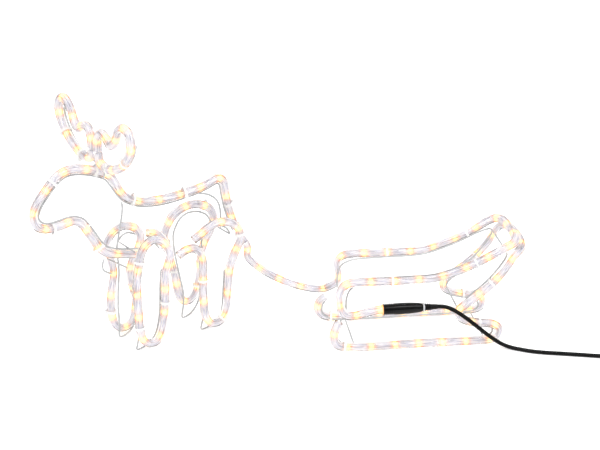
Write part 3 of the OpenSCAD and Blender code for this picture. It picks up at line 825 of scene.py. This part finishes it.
def plug_pins():
    """Round pins with a black sleeve at their roots and a rounded nickel end."""
    low, high = (Vector(c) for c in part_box("plug_pins"))
    r = (high.z - low.z) / 2 * 1000
    bare, sleeve = Build(), Build()
    for x in (low.x + r / 1000, high.x - r / 1000):
        root = (x, low.y, (low.z + high.z) / 2)
        bare.lathe(root, (0, 1, 0), mm_profile([
            (0, r - 0.25), (9.5, r - 0.25), (9.6, r), (17.4, r), (18.4, r - 0.5), (18.9, r - 1.2),
            (19, 0.1)]), 24)
        sleeve.lathe(root, (0, 1, 0), mm_profile([
            (0, r - 0.2), (0, r), (9.2, r), (9.45, r - 0.2)]), 24)
    return (
        bare.make("plug_prongs", NICKEL, "sleigh", "plug_pin", ("plug_pins",)),
        sleeve.make("prong_sleeves", CONNECTOR, "sleigh", "plug"))


def coil_band():
    """A flat wire tie round the coil's turns, with its two ends twisted together."""
    low, high = (Vector(c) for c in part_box("coil_tie"))
    build = Build()
    t, w = 0.0007, high.x - low.x
    y0, y1, z0, z1 = low.y + t / 2, high.y - t / 2, low.z + 0.0003, high.z - t / 2
    corner = 0.004
    loop = []
    for cy, cz, first in (
            (y1 - corner, z1 - corner, 0), (y0 + corner, z1 - corner, 90),
            (y0 + corner, z0 + corner, 180), (y1 - corner, z0 + corner, 270)):
        for k in range(7):
            a = math.radians(first + 15 * k)
            loop.append((cy + corner * math.cos(a), cz + corner * math.sin(a)))
    x0 = (low.x + high.x) / 2
    rings = []
    for i, (y, z) in enumerate(loop):
        before, after = loop[i - 1], loop[(i + 1) % len(loop)]
        d = Vector((after[0] - before[0], after[1] - before[1])).normalized()
        n = Vector((d.y, -d.x))
        rings.append([
            (x0 + s * w / 2, y + k * n.x * t / 2, z + k * n.y * t / 2)
            for s, k in ((-1, -1), (1, -1), (1, 1), (-1, 1))])
    build.rings(rings, closed=True)
    y_middle, apart = (y0 + y1) / 2, 0.0011
    for phase in (0, math.pi):
        turns = [phase + 1.1 * k for k in range(9)]
        twist = Path(np.array([
            (x0 + apart * math.cos(a), y_middle + apart * math.sin(a), z1 + 0.0005 + 0.0006 * k)
            for k, a in enumerate(turns)]), 0.0006)
        build.tube(twist, 0.0006, 8)
    return build.make("coil_twist_tie", RUBBER, "sleigh", "lead_tie", ("coil_tie",), 40)


plug_shell = plug()
prongs, sleeves = plug_pins()
band = coil_band()

# ---------------------------------------------------------------- rope light

# How the painted glow falls away along the rope: a bright spot, and a weak halo round it
SPOT = 0.0042
HALO = 0.1
HALO_REACH = 0.012
CORE_R = 0.0034
CONDUCTOR_R = 0.0005
CONDUCTOR_OUT = 0.0044
# Turn of the core and its conductors round the rope, in radians a metre
TWIST = 14
LAMP_HALF = 0.0035
# No LED is nearer than LAMP_MARGIN to the end of a run, and an open run of its own
# has at least END_ROOM free, at both ends together
LAMP_MARGIN = 0.004
END_ROOM = 0.012
# Between the last LED and the connector's mouth
LAST_LAMP = 0.004
# Every third LED has a resistor after it, where there is room, beside the middle
RESISTOR_EVERY = 3
RESISTOR_AFTER = 0.011
RESISTOR_ROOM = 0.02
RESISTOR_SIDE = 0.0012
# How much of the rope's end the cap covers
CAP_COVERS = 0.006


def lamp_stations(path):
    """Distances of the LEDs along a path, at the pitch, with equal margins."""
    if path.closed:
        count = int(round(path.length / LED_PITCH))
        return [path.length * (i + 0.5) / count for i in range(count)]
    count = int((path.length - END_ROOM) / LED_PITCH)
    margin = (path.length - count * LED_PITCH) / 2
    return [margin + i * LED_PITCH for i in range(count + 1)]


def stations_from(path, place):
    """Distances of the LEDs at the pitch, with one of them at a given place."""
    first = place % LED_PITCH
    return [first + i * LED_PITCH for i in range(int((path.length - first) / LED_PITCH) + 1)]


def glow_along(path, stations):
    """How strongly each ring takes the painted glow: 1 beside an LED, and falling away from it."""
    s = path.start + path.s
    gap = np.min([np.abs(s - q) for q in stations], axis=0)
    if path.closed:
        for turn in (-path.length, path.length):
            gap = np.minimum(gap, np.min([np.abs(s - q + turn) for q in stations], axis=0))
    return np.exp(-((gap / SPOT) ** 2)) + HALO * np.exp(-gap / HALO_REACH)


def add_lamp(build, path, s):
    """One LED lying in the rope: flange, barrel and domed lens."""
    p, t = path.at(s)[:2]
    build.lathe(p - LAMP_HALF * t, t, mm_profile([
        (0, 0.2), (0, 2.0), (0.9, 2.0), (1.0, 1.7), (4.4, 1.7), (5.6, 1.45), (6.5, 0.9),
        (6.9, 0.15)]), 12)


def add_resistor(build, path, s):
    """A dog-bone resistor on an LED's lead, to one side of the rope's middle."""
    p, t, u, v = path.at(s)
    rings, lay = [], []
    for along, r in (
            (0, 0.3), (0, 0.7), (0.5, 0.95), (1.0, 0.95), (1.4, 0.75), (3.6, 0.75), (4.0, 0.95),
            (4.5, 0.95), (5.0, 0.7), (5.0, 0.3)):
        centre = p + RESISTOR_SIDE * u + along / 1000 * t
        rings.append([
            centre + r / 1000 * (math.cos(a) * u + math.sin(a) * v)
            for a in np.arange(10) * math.pi / 5])
        # Never zero, so that the piece keeps its coordinates
        lay.append([(0.0, 0.0, (along + 0.1) / 1000)] * 10)
    build.rings(rings, lay=lay)


# What a run of rope is made of: part, slot, material
ROPE_PARTS = (
    ("jacket", "rope", JACKET), ("core", "rope", CORE), ("conductors", "contact", CONDUCTOR),
    ("lamps", "led", LAMP), ("resistors", "contact", RESISTOR))


def rope_run(name, path, stations, body, nodes=(), replaced_lamps=()):
    """The jacket, core, conductors, LEDs and resistors of one run, which all ride on one body."""
    builds = {part: Build() for part, slot, material in ROPE_PARTS}
    glow = glow_along(path, stations)
    builds["jacket"].tube(path, ROPE_R, 28, glow=glow)
    builds["core"].tube(path, CORE_R, 24, glow=glow, twist=TWIST, flutes=0.1)
    for side in (-1, 1):
        builds["conductors"].tube(
            path, CONDUCTOR_R, 8, glow=glow, offset=(side * CONDUCTOR_OUT, 0), twist=TWIST)
    for n, q in enumerate(stations):
        if path.start + LAMP_MARGIN <= q <= path.start + path.length - LAMP_MARGIN:
            add_lamp(builds["lamps"], path, q - path.start)
            if n % RESISTOR_EVERY == 0 and q + RESISTOR_ROOM < path.start + path.length:
                add_resistor(builds["resistors"], path, q - path.start + RESISTOR_AFTER)
    made = []
    for part, slot, material in ROPE_PARTS:
        if builds[part].points:
            stands_for = {"jacket": nodes, "lamps": replaced_lamps}.get(part, ())
            made.append(builds[part].make(f"{name}_{part}", material, body, slot, stands_for, 60))
    return made


# The last LED lights the rope just where it goes into the connector
mouth = distance_to(fed_rope, np.array(connector_at) * 1000)
fed_stations = stations_from(fed_rope, mouth - LAST_LAMP)
rope_run(
    "outline", fed_rope.cut(0.0, tow_start), fed_stations, "reindeer",
    ("head_rope", "back_rope", "rump_rope", "chest_rope"), ("reindeer_leds",))
rope_run(
    "sleigh_upper", fed_rope.cut(tow_end, fed_rope.length), fed_stations, "sleigh",
    ("front_rope_far", "rail_rope_far", "rear_cross_rope_upper", "rail_rope_near",
     "front_rope_near"),
    ("sleigh_leds",))
rope_run(
    "sleigh_lower", lower_rope, lamp_stations(lower_rope), "sleigh",
    ("runner_rope_near", "heel_rope_near", "back_edge_rope_near", "rear_cross_rope_lower",
     "back_edge_rope_far", "heel_rope_far", "runner_rope_far"))


def tow_half(name, a, b, nodes=(), lamps=()):
    """Half of the free rope, which runs from one body to the next and rides on neither."""
    for piece in rope_run(name, fed_rope.cut(a, b), fed_stations, None, nodes, lamps):
        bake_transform(piece)


tow_half("tow_front", tow_start, tow_middle, ("tow_rope",), ("tow_leds",))
tow_half("tow_rear", tow_middle, tow_end)

front_near = leg_path(FRONT_LEG_NEAR, -1, True)
front_far = leg_path(FRONT_LEG_FAR, 1, True)
hind_near = leg_path(HIND_LEG_NEAR, -1, False)
hind_far = Path(smooth(in_reindeer(upright(HIND_LEG_FAR, LEG_HALF) + HIND_FAR_END)))
antler_near = antler_path(-1)
antler_far = antler_path(1)
for name, path in (
        ("front_leg_rope_near", front_near), ("front_leg_rope_far", front_far),
        ("hind_leg_rope_near", hind_near), ("hind_leg_rope_far", hind_far),
        ("antler_rope_near", antler_near), ("antler_rope_far", antler_far)):
    rope_run(name.replace("_rope", ""), path, lamp_stations(path), "reindeer", (name,))


def end_cap():
    """The clear cap on the rope's last end."""
    build = Build()
    p, t = hind_far.p[-1], hind_far.t[-1]
    build.lathe(p - CAP_COVERS * t, t, mm_profile([
        (0, 6.6), (0, 7.2), (0.4, 7.45), (12.0, 7.45), (12.3, 7.3), (13.6, 6.6), (14.6, 5.2),
        (15.0, 3.0), (15.05, 0.1)]), 40)
    build.make("rope_cap", JACKET, "reindeer", "end_cap", ("rope_end_cap",), 40)


end_cap()

# ---------------------------------------------------------------- wire frame

# The CAD's own wires are shown, rounded off and with a coat
for row in frame["record"]["subparts"]:
    if row["material_slot"] != "frame_wire":
        continue
    node = frame["nodes"][row["node"]]
    node.data.materials.clear()
    node.data.materials.append(WIRE)
    weld = node.modifiers.new("weld", "WELD")
    weld.merge_threshold = 0.00002
    round_off = node.modifiers.new("round", "SUBSURF")
    round_off.levels = round_off.render_levels = 1

# ---------------------------------------------------------------- cable ties

TIE_W = 0.0034
TIE_T = 0.0009
TIE_GAP = 0.0001
# Steps of a tie's outline round the rope and round the wire
BIG_STEPS = 20
SMALL_STEPS = 6
# Where the head sits round the rope, from the direction of the wire
TIE_HEAD = math.radians(125)


def tie_outline(gap):
    """A closed loop round the rope and the wire beside it, as (toward the wire, across)."""
    big, small = ROPE_R + gap, WIRE_R + gap
    lean = math.asin((big - small) / WIRE_OFFSET)
    points = []
    for k in range(BIG_STEPS + 1):
        a = math.pi / 2 - lean + (math.pi + 2 * lean) * k / BIG_STEPS
        points.append((big * math.cos(a), big * math.sin(a)))
    for k in range(SMALL_STEPS + 1):
        a = -math.pi / 2 + lean + (math.pi - 2 * lean) * k / SMALL_STEPS
        points.append((WIRE_OFFSET + small * math.cos(a), small * math.sin(a)))
    return points


def add_tie(build, path, s, toward):
    """A nylon tie: band, square head and the stub of its cut tail."""
    p, t = path.at(s)[:2]
    toward = np.array(toward, float)
    toward -= np.dot(toward, t) * t
    toward /= np.linalg.norm(toward)
    across = np.cross(t, toward)

    def place(a, b, c):
        """A point by its distance toward the wire, across and along the rope."""
        return p + a * toward + b * across + c * t

    half = TIE_W / 2
    rings = []
    for (a, b), (c, d) in zip(tie_outline(TIE_GAP), tie_outline(TIE_GAP + TIE_T)):
        rings.append([
            place(a, b, -half), place(c, d, -half), place(c, d, half), place(a, b, half)])
    build.rings(rings, closed=True)

    def block(bottom, top, width, depth, taper):
        """A block that stands on the band at the head's place."""
        rings = []
        for r, k in ((bottom, 1.0), (bottom + 0.7 * (top - bottom), 1.0), (top, taper)):
            ring = []
            for x, y in ((-1, -1), (1, -1), (1, 1), (-1, 1)):
                q = x * k * width / 2
                ring.append(place(
                    r * math.cos(TIE_HEAD) - q * math.sin(TIE_HEAD),
                    r * math.sin(TIE_HEAD) + q * math.cos(TIE_HEAD), y * k * depth / 2))
            rings.append(ring)
        build.rings(rings)

    block(ROPE_R + 0.0002, ROPE_R + 0.0034, 0.0042, 0.0044, 0.8)
    block(ROPE_R + 0.0028, ROPE_R + 0.0046, 0.0009, 0.9 * TIE_W, 0.9)


def reindeer_way(x, y, z):
    """A direction of the reindeer's own frame."""
    return np.array((TURN_COS * x - TURN_SIN * y, TURN_SIN * x + TURN_COS * y, z))


# From the near legs to the far ones
ACROSS = reindeer_way(0, 1, 0)


def inward(path, s):
    """Into the outline from the reindeer's own rope."""
    return np.cross(path.at(s)[1], ACROSS)


def outline_place(x, z):
    """How far along the fed rope a point of the reindeer's outline is."""
    return distance_to(fed_rope, in_reindeer([(x, 0, z)])[0])


def reindeer_ties():
    """Ties round the outline, the legs and the antlers, at the design's distances."""
    build = Build()
    head, back, rump = (outline_place(*run[-1]) for run in (CHEST, HEAD, BACK))
    for start, distances in (
            (0, (0.078,)), (head, (0.06, 0.16, 0.232)), (back, (0.06, 0.15)), (rump, (0.07,))):
        for d in distances:
            add_tie(build, fed_rope, start + d, inward(fed_rope, start + d))
    front, hind, antler = (0.045, 0.15, 0.26), (0.09, 0.19, 0.33), (0.038, 0.092)
    forward = reindeer_way(1, 0, 0)
    for path, way, places in (
            (front_near, ACROSS, front), (front_far, -ACROSS, front), (hind_near, ACROSS, hind),
            (hind_far, -ACROSS, hind), (antler_near, forward, antler),
            (antler_far, forward, antler)):
        for s in places:
            add_tie(build, path, s, way)
    build.make("ties_reindeer", NYLON, "reindeer", "tie", ("reindeer_ties",), 30)


def side_place(path, side, x, z):
    """How far along the path a point of the sleigh's near (-1) or far (1) side is."""
    return distance_to(path, in_sleigh([(x, side * SIDE_HALF, z)])[0])


def sleigh_ties():
    """Ties along the rails, the runners, the heels and the back edges."""
    build = Build()
    near = side_place(fed_rope, -1, *FRONT_NEAR[0])
    far = side_place(fed_rope, 1, *FRONT_FAR[-1])
    for d in (0.06, 0.19):
        add_tie(build, fed_rope, near - d, (0, 1, 0))
        add_tie(build, fed_rope, far + d, (0, -1, 0))
    for side, front in ((-1, 0.0), (1, lower_rope.length)):
        heel, edge = (side_place(lower_rope, side, x, z) for x, z in (RUNNER[-1], HEEL[-1]))
        for start, d in ((front, 0.052), (heel, 0.068), (edge, 0.05)):
            add_tie(build, lower_rope, start - side * d, (0, -side, 0))
    build.make("ties_sleigh", NYLON, "sleigh", "tie", ("sleigh_ties",), 30)


reindeer_ties()
sleigh_ties()

# ---------------------------------------------------------------- floor and light


def floor():
    """A large pale floor that the light washes to white."""
    mesh = bpy.data.meshes.new("floor")
    mesh.from_pydata([(-30, -30, 0), (30, -30, 0), (30, 30, 0), (-30, 30, 0)], [], [(0, 1, 2, 3)])
    obj = bpy.data.objects.new("floor", mesh)
    bpy.context.collection.objects.link(obj)
    material, shader = new_material(
        "floor", Roughness=0.9, Emission_Strength=0.42, Emission_Color=(1, 1, 1, 1))
    noise = mapped_noise(material, 3, 3)
    drive(material, shader, "Base Color", noise, [(0.3, grey(0.9)), (0.7, grey(0.93))])
    mesh.materials.append(material)


def area_light(name, place, target, size, power, depth=None):
    """A soft light aimed at a point: square, or a strip of the given depth."""
    data = bpy.data.lights.new(name, "AREA")
    data.shape = "RECTANGLE"
    data.size = size
    data.size_y = depth or size
    data.energy = power
    obj = bpy.data.objects.new(name, data)
    obj.location = place
    obj.rotation_euler = (Vector(target) - Vector(place)).to_track_quat("-Z", "Y").to_euler()
    bpy.context.collection.objects.link(obj)


floor()
area_light("key", (-1.4, -1.2, 2.4), (0, 0, 0.1), 1.4, 18)
area_light("fill", (1.8, -1.2, 1.6), (0, 0, 0.1), 1.2, 9)
area_light("back", (0.2, 2.4, 1.8), (0, 0, 0.1), 1.6, 10)
area_light("strip", (0.2, -0.75, 1.4), (0.17, -0.07, 0.07), 1.8, 12, 0.25)


def studio_world():
    """A white ceiling over a grey room, so that clear and glossy parts have dark edges."""
    world = bpy.data.worlds.new("studio")
    world.use_nodes = True
    nodes, links = world.node_tree.nodes, world.node_tree.links
    coords = nodes.new("ShaderNodeTexCoord")
    split = nodes.new("ShaderNodeSeparateXYZ")
    shade = nodes.new("ShaderNodeValToRGB")
    for element, (place, level) in zip(shade.color_ramp.elements, ((0.05, 0.2), (0.7, 1.0))):
        element.position = place
        element.color = (*grey(level), 1)
    links.new(coords.outputs["Generated"], split.inputs["Vector"])
    links.new(split.outputs["Z"], shade.inputs["Fac"])
    links.new(shade.outputs["Color"], nodes["Background"].inputs["Color"])
    nodes["Background"].inputs["Strength"].default_value = 0.7
    return world


bpy.context.scene.world = studio_world()
bpy.context.scene.view_settings.view_transform = "Standard"
